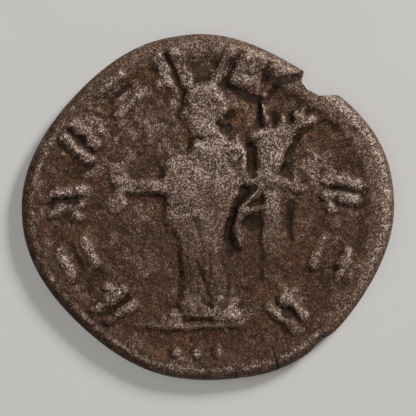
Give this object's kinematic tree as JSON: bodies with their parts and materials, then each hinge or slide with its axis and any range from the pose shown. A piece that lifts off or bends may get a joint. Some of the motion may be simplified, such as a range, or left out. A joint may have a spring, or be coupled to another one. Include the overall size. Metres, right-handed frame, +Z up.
{
  "type": "ancient coin",
  "caption": "Worn struck coin with an uneven, notched flan: a standing draped figure on the upper face and a radiate bust on the lower.",
  "frame": {"origin": "middle of the coin's outline, on the surface that it lies on", "axes": "+Z up through the coin, out of the reverse face; +Y from the reverse figure's feet to its head; +X to the figure's horn side"},
  "size_m": [0.022, 0.0204, 0.0018],
  "materials": {
    "patinated_silver": "worn, pitted low-grade silver alloy with a brown-grey patina, dull in the field and greyer on the high points"
  },
  "bodies": {
    "root": {"coin": "patinated_silver"}
  },
  "joints": []
}
